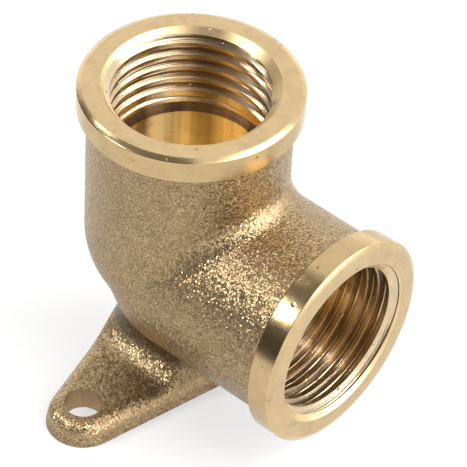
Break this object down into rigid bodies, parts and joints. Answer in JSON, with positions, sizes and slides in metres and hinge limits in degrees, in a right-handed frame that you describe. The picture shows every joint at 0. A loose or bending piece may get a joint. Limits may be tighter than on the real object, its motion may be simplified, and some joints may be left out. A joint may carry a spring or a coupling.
{
  "type": "wall plate elbow",
  "caption": "Cast brass right-angle pipe elbow with female threaded sockets on both arms and a back plate with screw ears for fixing to a wall.",
  "frame": {"origin": "on the wall face of the plate, on the axis of the outlet socket", "axes": "+Z out of the outlet socket, away from the wall; +X out of the inlet socket; the screw ears lie along Y"},
  "size_m": [0.0384, 0.0454, 0.042],
  "materials": {
    "brass": "sand-blasted casting with turned bright faces"
  },
  "bodies": {
    "root": {"elbow_body": "brass"}
  },
  "joints": []
}
